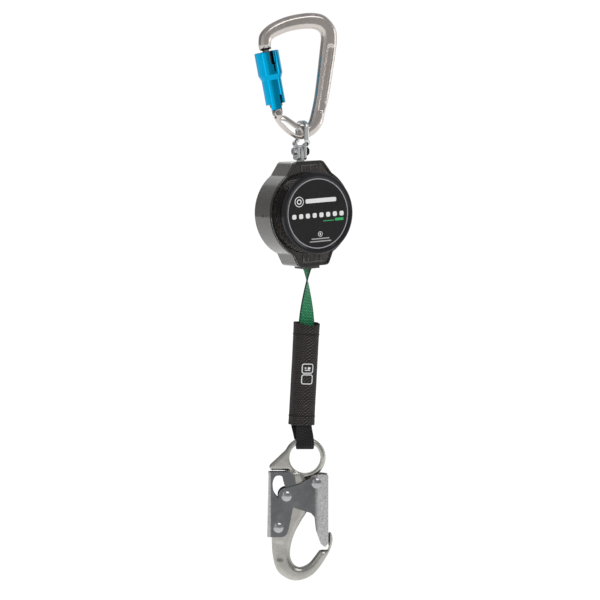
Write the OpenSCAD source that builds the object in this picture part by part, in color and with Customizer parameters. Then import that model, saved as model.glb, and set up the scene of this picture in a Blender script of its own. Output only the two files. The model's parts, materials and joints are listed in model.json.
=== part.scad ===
// Self retracting lifeline: carabiner, twisted shackle and swivel, webbing housing,
// energy absorber and double locking snap hook, hanging from the carabiner.
// Millimetres, +Z up. The origin is the point of the carabiner that bears on the anchor.

/* [Attitude at rest] */
// Turn of the carabiner about the vertical, degrees
carabiner_yaw = -15; // [-20:1:-8]
// Roll of the housing under the bolt, degrees
housing_roll = -3.2; // [-5:0.1:0]
// Lean of the energy absorber, degrees
absorber_lean = 3.5; // [0:0.1:5]
// Turn of the snap hook about the vertical, degrees
hook_yaw = -27; // [-30:1:-20]

/* [Carabiner] */
// Thickness of the forged body
carabiner_t = 11; // [10:0.5:12]
// Radius of the gate bar
gate_r = 6.3; // [6:0.1:6.5]
// Outer radius of the wide end of the sleeve
sleeve_r = 12; // [11.8:0.1:12.4]
// Outer radius of the narrow end of the sleeve
sleeve_small_r = 9.75; // [9:0.05:10]
// Height of the sleeve's top above the hinge
sleeve_top = 60; // [59:0.5:61]

/* [Shackle and swivel] */
// Diameter of the shackle's bar
shackle_d = 4.8; // [4:0.1:5]
// Distance of each strand from the centre of the bow
shackle_half_w = 8.7; // [8.5:0.1:9.5]
// Diameter of the bolt's shank
bolt_d = 5; // [4.5:0.1:5.2]
// Diameter of the swivel's shank
swivel_d = 8.4; // [8:0.1:9]

/* [Housing] */
// Radius of the round part of the casing
casing_r = 45; // [44:0.5:47]
// Wall of the casing
wall = 1.6; // [1.4:0.1:2]
// Half of the casing's depth
casing_half_d = 16; // [16:0.5:17]
// Radius of the front step
front_step_r = 38.8; // [38:0.1:40]
// Radius of the rear step
rear_step_r = 38; // [37.5:0.1:39]
// Radius of the round label
label_r = 33; // [32:0.1:34]

/* [Drum and brake] */
// Width of the lifeline webbing
web_w = 17.5; // [16:0.1:17.6]
// Thickness of the lifeline webbing
web_t = 1.5; // [1.2:0.1:1.6]
// Radius of the drum's hub
hub_r = 14; // [12:0.5:16]
// Outer radius of the wound webbing
wound_r = 30.2; // [28:0.1:30.5]
// Radius of the drum's shaft
shaft_r = 5; // [4:0.1:5.5]
// Number of teeth on the ratchet ring
ratchet_teeth = 12; // [12:2:12]

/* [Energy absorber] */
// Width of the absorber's cover
cover_w = 26; // [24:0.5:28]
// Depth of the absorber's cover
cover_d = 17; // [16:0.5:20]
// Length of the absorber's cover
cover_l = 101; // [90:1:110]

/* [Snap hook] */
// Inner radius of the hook's eye
eye_r = 15.25; // [15:0.05:15.5]
// Thickness of the hook's body
hook_t = 10; // [9:0.5:10]
// Thickness of the gate and lever plates
plate_t = 1.4; // [1.2:0.1:1.5]

/* [Hidden] */
$fn = 48;
fit = 0.05;

// Carabiner frame: the hinge of its gate and the lean of the gate bar
gate_hinge = [-24.8, -80.6];
gate_lean = -10.76;
hinge_pin_r = 2;
fork_r = 5.3;
lug_half_t = 3;
key_bottom = 49;
key_neck = 54;
key_in = 2.6;
key_out = 3.5;
sleeve_bore_top = 34;
stop_pin_s = 22;
stop_pin_angle = 150;
sleeve_twist = 96;
window_from = 92;
window_sweep = 74;

// Shackle: the seat on the carabiner, the bolt, and where the strands cross over
seat_z = -90.1;
bow_corner = 6;
bolt = [-2.4, 0, -118.2];
cross_top = -107.5;
cross_bottom = -113.1;
strand_end = 4.7;
ear_in = 2.4;
ear_out = 5.2;
ear_half_w = 5;
ear_corner = 2.5;
ear_drop = 8.3;
lug_half_x = 1.6;
neck_top = -9.2;

// Housing frame, measured from the bolt
case_c = -59.8;
case_top = -9.5;
case_bottom = -111.3;
seal_front = -15.2;
seal_back = -13.8;
step_front = -28.4;
bezel_front = -29.8;
bezel_back = -24.6;
bezel_r = 39.3;
rear_step_y = 25;
rim_h = 0.9;
rim_w = 1.8;
boss_ring = 41.2;
boss_angles = [24, 156, 204, 336];
web_y = -3;
front_plate_y = [-14.3, -13.1];
rear_plate_y = [7.1, 9.1];
frame_r = 38;
spacer_ring = 35.4;
spacer_angles = [8, 172, 196, 344];
bush_r = 7;
flange_r = 32.6;
block_top = -12;
block_bottom = -26;
swivel_bush_r = 6;
nut_r = 6.2;
guide_bar = [6, -99.2];
guide_bar_r = 2.5;
cup_r = 33;
ratchet_root = 27;
ratchet_tip = 24;
ratchet_y = [11.5, 15.5];
pawl_y = [11.8, 14.8];
pawl_ring = 12;
pawl_bore = 1.5;
tooth_face = 47;

// Absorber, loop and hook
absorber_c = [0.55, -3, -335.5];
pack_half = 44;
loop_t = 2;
loop_w = 17.5;
eye = [1.5, -3, -418.7];
eye_outer = 20.5;
eye_t = 7;
loop_r = 5.6;
loop_centre = 14.8;
gate_pivot = [11, -24.6];
lock_pivot = [-26.4, -68.5];
link = [-18.5, -37.2];
rivet_r = 2.5;
lever_in = 5.3;
gate_in = 7;

// ---------- helpers ----------

function unit(v) = v / norm(v);
function mix(a, b, t) = a + (b - a) * t;
function ease(t) = t * t * (3 - 2 * t);
function polar(r, a) = [r * cos(a), r * sin(a)];
function turn_y(p, a) = [p[0] * cos(a) + p[2] * sin(a), p[1], p[2] * cos(a) - p[0] * sin(a)];
function turn_z(p, a) = [p[0] * cos(a) - p[1] * sin(a), p[0] * sin(a) + p[1] * cos(a), p[2]];

// A point of the housing frame or of the absorber frame in the part's own frame
function in_part(p) = bolt + turn_y(p, housing_roll);
function from_absorber(p) = absorber_c + turn_y(p, absorber_lean);

// One point of a smooth curve through b and c
function curve_at(a, b, c, d, t) =
    0.5 * (2 * b + (c - a) * t + (2 * a - 5 * b + 4 * c - d) * t * t
        + (3 * b - a - 3 * c + d) * t * t * t);

// Smooth curve through an open list of points
function open_curve(p, steps = 4) = [for (i = [0 : len(p) - 2], s = [0 : steps - 1])
    curve_at(p[max(i - 1, 0)], p[i], p[i + 1], p[min(i + 2, len(p) - 1)], s / steps),
    p[len(p) - 1]];

// Smooth curve through a closed list of points
function closed_curve(p, steps = 4) = let (n = len(p))
    [for (i = [0 : n - 1], s = [0 : steps - 1])
        curve_at(p[(i + n - 1) % n], p[i], p[(i + 1) % n], p[(i + 2) % n], s / steps)];

// Solid through a row of equal rings, closed at both ends
module skin(rings) {
    n = len(rings[0]);
    last = len(rings) - 1;
    points = [for (ring = rings, p = ring) p];
    sides = [for (i = [0 : last - 1], j = [0 : n - 1])
        let (a = i * n + j, b = i * n + (j + 1) % n)
        each [[a, b, b + n], [a, b + n, a + n]]];
    ends = [[for (j = [n - 1 : -1 : 0]) j], [for (j = [0 : n - 1]) last * n + j]];
    polyhedron(points = points, faces = concat(sides, ends));
}

// Round bar along a path
module bar(path, r, sides = 10) {
    n = len(path);
    along = [for (i = [0 : n - 1]) unit(path[min(i + 1, n - 1)] - path[max(i - 1, 0)])];
    start = unit(cross(along[0], abs(along[0][2]) > 0.9 ? [1, 0, 0] : [0, 0, 1]));
    sideways = [for (i = 0, u = start; i < n; i = i + 1,
        u = i < n ? unit(u - along[i] * (u * along[i])) : u) u];
    skin([for (i = [0 : n - 1]) let (v = cross(along[i], sideways[i]))
        [for (j = [0 : sides - 1]) let (a = -360 * j / sides)
            path[i] + r * (cos(a) * sideways[i] + sin(a) * v)]]);
}

// Flat strap along a path; across[i] is the direction of its width
module strap(path, across, w, t) {
    n = len(path);
    skin([for (i = [0 : n - 1])
        let (along = unit(path[min(i + 1, n - 1)] - path[max(i - 1, 0)]),
            a = unit(across[i] - along * (across[i] * along)), b = cross(along, a))
        [path[i] - a * w / 2 - b * t / 2, path[i] - a * w / 2 + b * t / 2,
            path[i] + a * w / 2 + b * t / 2, path[i] + a * w / 2 - b * t / 2]]);
}

// Outline in X and Z, drawn out along Y between two depths
module slab(y0, y1) {
    translate([0, y1, 0]) rotate([90, 0, 0]) linear_extrude(height = y1 - y0) children();
}

// Forged plate of thickness t with its long edges rounded in two steps of c
module forged(t, c) {
    slab(-t / 2 + c, t / 2 - c) children();
    slab(-t / 2 + c * 0.35, t / 2 - c * 0.35) offset(delta = -c * 0.35) children();
    slab(-t / 2, t / 2) offset(delta = -c) children();
}

// Cylinder along Y between two depths
module rod_y(r, y0, y1) {
    translate([0, y1, 0]) rotate([90, 0, 0]) cylinder(r = r, h = y1 - y0);
}

// Ring of revolution about Y; the outline is [radius, depth towards the front]
module spun_y() {
    rotate([90, 0, 0]) rotate_extrude($fn = 96) children();
}

module carabiner_frame() {
    rotate([0, 0, carabiner_yaw]) children();
}

module gate_frame() {
    carabiner_frame() translate([gate_hinge[0], 0, gate_hinge[1]]) rotate([0, gate_lean, 0])
        children();
}

module housing_frame() {
    translate(bolt) rotate([0, housing_roll, 0]) children();
}

module drum_frame() {
    housing_frame() translate([0, 0, case_c]) children();
}

module absorber_frame() {
    translate(absorber_c) rotate([0, absorber_lean, 0]) children();
}

module hook_frame() {
    translate(eye) rotate([0, 0, hook_yaw]) children();
}

// ---------- carabiner ----------

carabiner_outer = [[-42.7, -21.2], [-43.8, -14], [-42.7, -5.4], [-37.7, 1.1], [-29.8, 6.5],
    [-17.5, 11.8], [-3.9, 15], [9.6, 16.3], [20.8, 14.5], [28.7, 8.6], [33.7, 1.1], [35.2, -6.5],
    [34.3, -19.3], [27.6, -62.2], [22.9, -81], [21.1, -90], [15.4, -98.9], [7.2, -104.7],
    [-0.5, -106.8], [-8.2, -105.2], [-16.5, -99.6], [-23.9, -92.4], [-29.2, -84.5]];
carabiner_inner = [[-20.5, -82.8], [-15.7, -84.1], [-5.2, -91], [-2.4, -92.9], [0.6, -93.4],
    [3.8, -92.4], [6.4, -89.6], [8.5, -83.7], [12.9, -62.2], [18, -19.3], [19.1, -6.5],
    [16.3, -1.6], [9.6, 0.5], [-1.7, 0], [-12.9, -2.1], [-21.9, -5.4], [-29.8, -9.6],
    [-31.3, -14], [-30.9, -19]];
carabiner_window = [[-25.6, -86.9], [-20.5, -88.4], [-16.1, -89.6], [-8.9, -94.8], [-3, -98.4],
    [-1.5, -99.6], [-1.5, -101.4], [-3, -102.6], [-7.4, -101.6], [-14, -96.9], [-20.6, -90.4]];

module carabiner_outline() {
    polygon(concat(open_curve(carabiner_outer), [[-25, -84]], open_curve(carabiner_inner)));
    translate(gate_hinge) circle(r = fork_r);
}

module carabiner_body() color("silver") {
    carabiner_frame() difference() {
        union() {
            forged(carabiner_t, 3.3) carabiner_outline();
            translate([gate_hinge[0], 0, gate_hinge[1]])
                rod_y(fork_r - 0.8, -carabiner_t / 2, carabiner_t / 2);
        }
        slab(-carabiner_t, carabiner_t) polygon(closed_curve(carabiner_window, 3));
        for (side = [-1, 1]) slab(side * carabiner_t / 2 - 1.8, side * carabiner_t / 2 + 1.8)
            hull() {
                translate([27.6, -18]) circle(r = 3);
                translate([18.2, -77]) circle(r = 3);
            }
        slab(-lug_half_t - 0.2, lug_half_t + 0.2) translate(gate_hinge) circle(r = 5.6);
        translate([gate_hinge[0], 0, gate_hinge[1]]) rod_y(hinge_pin_r, -10, 10);
    }
    gate_frame() {
        translate([-key_out, -1.4, key_neck - 0.5]) cube([key_out + key_in, 2.8, 10]);
        translate([-key_out, -2.4, key_bottom])
            cube([key_out + key_in, 4.8, key_neck - key_bottom]);
    }
}

module carabiner_gate() color("dimgray") gate_frame() difference() {
    union() {
        translate([0, 0, 5.9]) cylinder(r = gate_r, h = sleeve_top - 5.9);
        rod_y(4.6, -lug_half_t, lug_half_t);
        translate([-4.6, -lug_half_t, 0]) cube([9.2, 2 * lug_half_t, 8]);
    }
    rod_y(hinge_pin_r + fit, -10, 10);
    translate([-8, -3, 46.6]) cube([11.4, 6, 7.8]);
    translate([-8, -1.9, 54]) cube([11.4, 3.8, 10]);
    translate([0, 0, 5]) cylinder(r = 2.5, h = 27);
    translate([0, 0, stop_pin_s]) rotate([0, 90, stop_pin_angle])
        translate([0, 0, 3.4]) cylinder(r = 1.5, h = 10);
}

module gate_sleeve() color("deepskyblue") gate_frame() difference() {
    union() {
        rotate_extrude() polygon([[gate_r + fit, 8.7], [sleeve_small_r, 8.7],
            [sleeve_small_r, 32.3], [sleeve_r, 37.5], [sleeve_r, sleeve_top - 0.6],
            [sleeve_r - 0.6, sleeve_top], [10, sleeve_top], [10, sleeve_bore_top + 2],
            [gate_r + fit, sleeve_bore_top]]);
        rotate([0, 0, 225]) rotate_extrude(angle = 60)
            polygon([[7, 3.5], [sleeve_small_r, 3.5], [sleeve_small_r, 9], [7, 9]]);
    }
    rotate([0, 0, window_from]) rotate_extrude(angle = window_sweep)
        polygon([[9, 46.2], [13, 46.2], [13, 62], [9, 62]]);
    rotate([0, 0, 282]) {
        translate([8, -3.2, 50]) cube([6, 6.4, 12]);
        translate([8, 0, 50]) rotate([0, 90, 0]) cylinder(r = 3.2, h = 6);
        translate([8, -0.8, 40]) cube([6, 1.6, 12]);
    }
    rotate([0, 0, 294]) translate([6, -1.3, 5]) cube([6, 2.6, 12]);
    rotate([0, 0, stop_pin_angle - sleeve_twist - 13])
        rotate_extrude(angle = sleeve_twist + 26)
            polygon([[6, stop_pin_s - 1.7], [11, stop_pin_s - 1.7], [11, stop_pin_s + 1.7],
                [6, stop_pin_s + 1.7]]);
}

module gate_hinge_pin() color("lightgray") carabiner_frame()
    translate([gate_hinge[0], 0, gate_hinge[1]])
        rod_y(hinge_pin_r, -carabiner_t / 2, carabiner_t / 2);

// Coil of round wire about Z, with a straight leg of the given length at its end
module coil(r, wire, z0, z1, turns, leg = 0) {
    last = turns * 12;
    end = [r * cos(30 * last), r * sin(30 * last), z1];
    along = [-sin(30 * last), cos(30 * last), 0];
    bar(concat([for (i = [0 : last]) [r * cos(30 * i), r * sin(30 * i), mix(z0, z1, i / last)]],
        leg > 0 ? [end + along * leg / 2, end + along * leg] : []), wire, 6);
}

module gate_spring() color("gainsboro") gate_frame() coil(1.8, 0.3, 14.8, 31.4, 8);

module gate_plunger() color("gold") gate_frame() translate([0, 0, 6.4])
    cylinder(r = 2.4, h = 8);

module sleeve_spring() color("gainsboro") gate_frame() coil(8.1, 0.45, 37, 45, 4);

module sleeve_stop_pin() color("silver") gate_frame() translate([0, 0, stop_pin_s])
    rotate([0, 90, stop_pin_angle]) translate([0, 0, 3.5]) cylinder(r = 1.5, h = 5.9);

// ---------- shackle and swivel ----------

// One strand of the shackle, from the middle of the bow down to its ear
function bow_half(side) = concat(
    [for (y = [0, 1.4]) [0, side * y, seat_z]],
    [for (a = [0 : 15 : 90]) [0, side * (shackle_half_w - bow_corner + bow_corner * sin(a)),
        seat_z - bow_corner + bow_corner * cos(a)]],
    [for (z = [-99, -102, -105]) [0, side * shackle_half_w, z]]);
function crossing(side) = [for (i = [0 : 10]) let (t = i / 10, e = ease(t),
    a = side * 90 + 90 * e, r = mix(shackle_half_w, strand_end, e))
    [mix(0, bolt[0], e) + r * cos(a), r * sin(a), mix(cross_top, cross_bottom, t)]];
function strand(side) = concat(bow_half(side), crossing(side));
function reversed(p) = [for (i = [len(p) - 1 : -1 : 1]) p[i]];

module ear_outline() {
    hull() {
        for (side = [-1, 1])
            translate([side * (ear_half_w - ear_corner), ear_corner - ear_drop])
                circle(r = ear_corner);
        translate([-ear_half_w + 0.6, 4.6]) square([2 * ear_half_w - 1.2, 1.4]);
    }
}

module twisted_shackle() color("lightslategray") {
    bar(concat(reversed(strand(-1)), strand(1)), shackle_d / 2, 12);
    for (x = [-ear_out, ear_in]) translate(bolt) translate([x, 0, 0]) difference() {
        rotate([90, 0, 90]) linear_extrude(height = ear_out - ear_in) ear_outline();
        translate([-5, 0, 0]) rotate([0, 90, 0]) cylinder(d = bolt_d, h = 15);
    }
}

module shackle_bolt() color("silver") translate(bolt) rotate([0, 90, 0]) difference() {
    union() {
        translate([0, 0, -ear_out - 2.8]) cylinder(d = 7, h = 2.8);
        translate([0, 0, -ear_out - 0.1]) cylinder(d = bolt_d, h = 2 * ear_out + 4.4);
    }
    translate([0, 0, -ear_out - 3]) cylinder(d = 4, h = 2, $fn = 6);
}

module shackle_nut() color("black") translate(bolt) rotate([0, 90, 0]) difference() {
    translate([0, 0, ear_out]) cylinder(d = 8.6, h = 3.4, $fn = 6);
    cylinder(d = bolt_d, h = 20);
}

module swivel_eye() color("silver") difference() {
    housing_frame() {
        rotate([0, 90, 0]) translate([0, 0, -lug_half_x]) cylinder(r = 4.8, h = 2 * lug_half_x);
        translate([-lug_half_x, -4.8, neck_top - 0.2])
            cube([2 * lug_half_x, 9.6, -neck_top + 0.2]);
        translate([0, 0, block_bottom + 1.5])
            cylinder(d = swivel_d, h = neck_top - block_bottom - 1.5);
    }
    translate(bolt) rotate([0, 90, 0]) translate([0, 0, -10])
        cylinder(d = bolt_d + 2 * fit, h = 20);
}

module swivel_bush() color("darkgoldenrod") housing_frame() difference() {
    translate([0, 0, -19.5]) cylinder(r = swivel_bush_r, h = 7.5);
    translate([0, 0, -20]) cylinder(d = swivel_d + 2 * fit, h = 9);
}

module swivel_washer() color("silver") housing_frame() difference() {
    translate([0, 0, -20.5]) cylinder(r = swivel_bush_r + 0.5, h = 0.9);
    translate([0, 0, -21]) cylinder(d = swivel_d + 0.4, h = 3);
}

module swivel_nut() color("dimgray") housing_frame() difference() {
    translate([0, 0, -24.4]) cylinder(r = nut_r, h = 3.8, $fn = 6);
    translate([0, 0, -26]) cylinder(d = swivel_d, h = 7);
}

// ---------- housing ----------

// Outline of the casing: a round body with a neck above and below
module case_outline(inset = 0) {
    translate([0, case_c]) circle(r = casing_r - inset, $fn = 96);
    hull() for (side = [-1, 1]) {
        translate([side * 13, case_top - 5]) circle(r = 5 - inset);
        translate([side * 22, case_c + 33]) circle(r = 5 - inset);
    }
    hull() for (side = [-1, 1]) {
        translate([side * 13.5, case_bottom + 4.5]) circle(r = 4.5 - inset);
        translate([side * 19.5, case_c - 34]) circle(r = 4.5 - inset);
    }
}

module boss_pattern() {
    for (a = boss_angles) let (p = polar(boss_ring, a))
        translate([p[0], 0, case_c + p[1]]) children();
}

module rear_shell() color([0.42, 0.4, 0.37, 0.6]) housing_frame() difference() {
    union() {
        difference() {
            slab(seal_back, casing_half_d) case_outline();
            slab(seal_back - 1, casing_half_d - wall) case_outline(wall);
            translate([0, 0, case_c]) rod_y(rear_step_r - wall, 10, 20);
        }
        translate([0, 0, case_c]) difference() {
            rod_y(rear_step_r, casing_half_d - wall, rear_step_y);
            rod_y(rear_step_r - wall, 10, 30);
        }
        boss_pattern() rod_y(2.3, seal_back, casing_half_d);
    }
    boss_pattern() rod_y(1.45, seal_back - 1, casing_half_d + 1);
    translate([0, 0, case_top - 4]) cylinder(r = 4.8, h = 6);
    translate([-9, -13, case_bottom - 2]) cube([18, 20, 6]);
    translate([-casing_r - 2, 0, case_c]) rotate([0, 90, 0]) cylinder(r = 1.5, h = 5);
}

module front_shell() color([0.3, 0.28, 0.27, 0.6]) housing_frame() {
    difference() {
        slab(-casing_half_d, seal_front) case_outline();
        translate([0, 0, case_c]) rod_y(front_step_r - wall, -20, 0);
    }
    slab(-casing_half_d - rim_h, -casing_half_d + 0.1) difference() {
        case_outline();
        case_outline(rim_w);
    }
    translate([0, 0, case_c]) spun_y() polygon([
        [front_step_r - wall, casing_half_d - 1.4], [front_step_r, casing_half_d - 1.4],
        [front_step_r, -bezel_back], [front_step_r - wall, -bezel_back],
        [front_step_r - wall, -step_front], [0, -step_front], [0, -step_front - 0.6],
        [front_step_r - wall - 1.4, -step_front - 0.6], [front_step_r - wall - 1.4, 23],
        [front_step_r - wall, 21.6]]);
}

module seam_seal() color("black") housing_frame() difference() {
    slab(seal_front, seal_back) offset(delta = 0.25) case_outline();
    slab(seal_front - 1, seal_back + 1) case_outline(2.4);
}

module front_bezel() color([0.06, 0.06, 0.07]) drum_frame() spun_y() polygon([
    [front_step_r - wall, -bezel_back], [bezel_r, -bezel_back], [bezel_r, 26.2], [bezel_r - 0.6, 26.6],
    [bezel_r - 0.6, 27], [bezel_r, 27.4], [bezel_r, 28.8], [bezel_r - 1, -bezel_front],
    [36.2, -bezel_front], [label_r + 1, 29], [label_r + 1, -step_front],
    [front_step_r - wall, -step_front]]);

module label_ring() color("silver") drum_frame() spun_y() polygon([[label_r, -step_front],
    [label_r + 1, -step_front], [label_r + 1, 28.95], [label_r, 28.95]]);

module front_label() color([0.13, 0.12, 0.12]) drum_frame()
    rod_y(label_r, -28.85, step_front);

module rear_cover() color([0.2, 0.19, 0.18]) drum_frame() spun_y() polygon([
    [0, -22.6], [rear_step_r - wall - 0.1, -22.6], [rear_step_r - wall - 0.1, -rear_step_y],
    [rear_step_r, -rear_step_y], [rear_step_r, -rear_step_y - 1], [rear_step_r - 1.2, -26.8],
    [0, -26.8]]);

module housing_screws() color("silver") housing_frame() boss_pattern() {
    rod_y(1.4, seal_back + 0.5, casing_half_d);
    difference() {
        rod_y(2.7, casing_half_d, casing_half_d + 1.5);
        rod_y(1.2, casing_half_d + 0.5, casing_half_d + 3, $fn = 6);
    }
}

// ---------- frame inside the housing ----------

module frame_outline() {
    circle(r = frame_r);
    translate([-13, 20]) square([26, block_top - case_c - 20]);
    translate([-11, -47]) square([22, 30]);
}

module frame_sheet(y, bore) {
    drum_frame() difference() {
        slab(y[0], y[1]) frame_outline();
        rod_y(bore, y[0] - 1, y[1] + 1);
        for (a = spacer_angles) let (p = polar(spacer_ring, a)) translate([p[0], 0, p[1]])
            rod_y(1.2, y[0] - 1, y[1] + 1);
    }
}

module front_plate() color("lightsteelblue") frame_sheet(front_plate_y, bush_r);

module rear_plate() color("lightsteelblue") frame_sheet(rear_plate_y, bush_r);

module frame_spacers() color("silver") drum_frame() for (a = spacer_angles)
    let (p = polar(spacer_ring, a)) translate([p[0], 0, p[1]]) {
        rod_y(1.2, front_plate_y[0], rear_plate_y[1]);
        rod_y(2.2, front_plate_y[1], rear_plate_y[0]);
    }

module anchor_block() color("slategray") housing_frame() difference() {
    translate([-12, front_plate_y[1], block_bottom])
        cube([24, rear_plate_y[0] - front_plate_y[1], block_top - block_bottom]);
    translate([0, 0, block_bottom - 1]) cylinder(r = swivel_bush_r, h = 20);
    translate([0, 0, block_bottom - 1]) cylinder(r = 6.7, h = 7.4);
}

module web_guide() color("dimgray") housing_frame() difference() {
    union() {
        translate([-9.5, front_plate_y[1], -109.6]) cube([19, 20.2, 7.6]);
        translate([-8.5, -12.6, -114.2]) cube([17, 19.2, 6]);
    }
    translate([-2.2, -12.2, -120]) cube([4.4, 18.4, 30]);
    translate([0, web_y, -101.8]) rotate([0, 45, 0]) cube([5, 18.4, 5], center = true);
}

module guide_bars() color("silver") housing_frame() for (side = [-1, 1])
    translate([side * guide_bar[0], 0, guide_bar[1]])
        rod_y(guide_bar_r, front_plate_y[1], rear_plate_y[0]);

// ---------- drum, brake and power spring ----------

module drum() color("lightgray") drum_frame() difference() {
    spun_y() polygon([[shaft_r, -6.8], [flange_r, -6.8], [flange_r, -5.8], [hub_r, -5.8],
        [hub_r, 11.8], [flange_r, 11.8], [flange_r, 12.8], [shaft_r, 12.8]]);
    for (a = [0 : 60 : 300]) let (p = polar(23, a)) translate([p[0], 0, p[1]])
        rod_y(4.5, -14, -11);
}

module drum_shaft() color("silver") drum_frame() difference() {
    rod_y(shaft_r, -25.5, 13);
    translate([-0.5, -27, -6]) cube([1, 10, 12]);
}

module shaft_bushes() color("darkgoldenrod") drum_frame()
    for (y = [front_plate_y, rear_plate_y]) difference() {
        rod_y(bush_r, y[0], y[1]);
        rod_y(shaft_r + fit, y[0] - 1, y[1] + 1);
    }

module shaft_clips() color("dimgray") drum_frame() difference() {
    rod_y(6.6, 11.6, 12.4);
    rod_y(shaft_r, 11, 13);
    translate([-2, 10, -8]) cube([4, 4, 5]);
}

module wound_web() color("seagreen") drum_frame() difference() {
    rod_y(wound_r, web_y - web_w / 2, web_y + web_w / 2);
    rod_y(hub_r, -20, 20);
}

module pawl_carrier() color("gray") drum_frame() difference() {
    slab(9.6, 11.6) {
        circle(r = 9);
        hull() for (side = [-1, 1]) translate([0, side * pawl_ring]) circle(r = 4);
    }
    rod_y(shaft_r, 9, 12);
    for (side = [-1, 1]) translate([0, 0, side * pawl_ring]) rod_y(pawl_bore, 9, 12);
}

module ratchet_ring() color("slategray") drum_frame() slab(ratchet_y[0], ratchet_y[1])
    difference() {
        circle(r = 33, $fn = 96);
        polygon([for (k = [0 : ratchet_teeth - 1])
            let (step = 360 / ratchet_teeth, a = tooth_face + k * step)
            for (p = [[ratchet_tip, 0], [ratchet_root, 0], [ratchet_root, 4], [25.6, 15]])
                polar(p[0], a + p[1])]);
    }

module ratchet_posts() color("silver") drum_frame() for (a = [0 : 90 : 270])
    let (p = polar(30, a + 45)) translate([p[0], 0, p[1]]) rod_y(2, rear_plate_y[1], ratchet_y[0]);

module pawl(turn) {
    drum_frame() rotate([0, turn, 0]) translate([0, 0, pawl_ring]) difference() {
        slab(pawl_y[0], pawl_y[1]) polygon(concat([for (a = [80 : 10 : 280]) polar(3.5, a)],
            [[8, -0.6], [16.8, 1], [16.5, 3.5], [9, 4.6]]));
        rod_y(pawl_bore + fit, 10, 20);
    }
}

module pawl_a() color("steelblue") pawl(0);

module pawl_b() color("steelblue") pawl(180);

module pawl_pins() color("silver") drum_frame() for (side = [-1, 1])
    translate([0, 0, side * pawl_ring]) {
        rod_y(pawl_bore, 9.6, 17.4);
        rod_y(2.4, 16.9, 17.4);
    }

module pawl_springs() color("gainsboro") drum_frame() for (turn = [0, 180])
    rotate([0, turn, 0]) translate([0, 0, pawl_ring]) {
        translate([0, 15.15, 0]) rotate([-90, 0, 0]) coil(2.1, 0.3, 0, 1.3, 2, 7);
    }

spring_turns = 7;
function spring_r(a) = mix(6, 29.5, a / (360 * spring_turns));
module power_spring() color("darkslategray") drum_frame() slab(-25.5, -15.5)
    polygon(concat([for (a = [0 : 15 : 360 * spring_turns]) polar(spring_r(a) + 0.35, a)],
        [for (a = [360 * spring_turns : -15 : 0]) polar(spring_r(a) - 0.35, a)]));

module spring_cup() color("dimgray") drum_frame() difference() {
    rod_y(cup_r, -27.5, front_plate_y[0]);
    rod_y(cup_r - 1.4, -26.5, 0);
}

// ---------- lifeline, absorber and loop ----------

// Where the webbing leaves the roll, and the way down through the guide
web_leave = polar(wound_r + web_t / 2 + 0.15, -51.5);
web_inside = [[web_leave[0], web_leave[1] + case_c], [14.4, -87.6], [8.2, -92.8],
    [3.4, -96.8], [1.1, -99.6], [0.2, -103], [0, -108], [0, -114]];
web_top = in_part([0, web_y, -114]);
web_bottom = from_absorber([0, 0, pack_half]);
function web_path() = concat(
    [for (p = web_inside) in_part([p[0], web_y, p[1]])],
    [for (i = [1 : 16]) mix(web_top, web_bottom, i / 16)]);
function web_across() = concat(
    [for (p = web_inside) [0, 1, 0]],
    [for (i = [1 : 16]) let (a = 90 - 90 * pow(min(1, i / 14), 0.75))
        [cos(a), sin(a), 0]]);

module lifeline_web() color("seagreen") strap(web_path(), web_across(), web_w, web_t);

module stadium(w, d) {
    hull() for (side = [-1, 1]) translate([side * (w - d) / 2, 0]) circle(d = d, $fn = 32);
}

module absorber_pack() color([0.2, 0.2, 0.2]) absorber_frame() translate([0, 0, -pack_half])
    linear_extrude(height = 2 * pack_half) offset(r = 2) square([15, 7], center = true);

module absorber_cover() color([0.14, 0.13, 0.13]) absorber_frame()
    translate([0, 0, -cover_l / 2]) linear_extrude(height = cover_l) difference() {
        stadium(cover_w, cover_d);
        stadium(cover_w - 2.4, cover_d - 2.4);
    }

// The loop leaves the pack, turns with the hook and passes under the bar of its eye
function loop_side(side) = concat(
    [for (z = [-pack_half - 0.2, -46.5, -49, -52]) from_absorber([0, side * 4.7, z])],
    [for (z = [16.5, loop_centre]) eye + turn_z([0, side * loop_r, z], hook_yaw)]);
function loop_under() = [for (a = [15 : 15 : 165])
    eye + turn_z([0, loop_r * cos(a), loop_centre - loop_r * sin(a)], hook_yaw)];
function loop_down() = [for (i = [0 : 5]) loop_side(1)[i]];
function loop_up() = [for (i = [5 : -1 : 0]) loop_side(-1)[i]];
loop_turns = [0, 0, 0.1, 0.35, 0.9, 1];
function loop_across() = concat([for (t = loop_turns) turn_z([1, 0, 0], hook_yaw * t)],
    [for (a = [15 : 15 : 165]) turn_z([1, 0, 0], hook_yaw)],
    [for (i = [5 : -1 : 0]) turn_z([1, 0, 0], hook_yaw * loop_turns[i])]);

module web_loop() color([0.1, 0.1, 0.1])
    strap(concat(loop_down(), loop_under(), loop_up()), loop_across(), loop_w, loop_t);

// ---------- snap hook ----------

bowl_outer = [[-32, -62], [-33, -70], [-32.9, -80], [-31.7, -97.7], [-27.5, -111.6],
    [-18.3, -119.6], [-7.6, -122.2], [5.4, -118], [15.1, -108.2], [23.7, -94.4],
    [27.3, -83.8], [26.8, -76.5], [24.6, -73.4]];
bowl_inner = [[14.5, -91.5], [9.7, -98], [3.3, -105.3], [-6, -108.5], [-12.6, -103.4],
    [-14.6, -93], [-11, -77], [-4, -63.5], [2.2, -53.3], [5.6, -44], [8, -34]];

module hook_shank_outline() {
    polygon(concat([[-3, -12], [-19, -12.8], [-15.4, -18], [-14.5, -42], [-20, -51]],
        open_curve(bowl_outer), [[23.1, -74.4], [23.1, -91.5]], open_curve(bowl_inner)));
    translate(gate_pivot) circle(r = 8);
}

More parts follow.
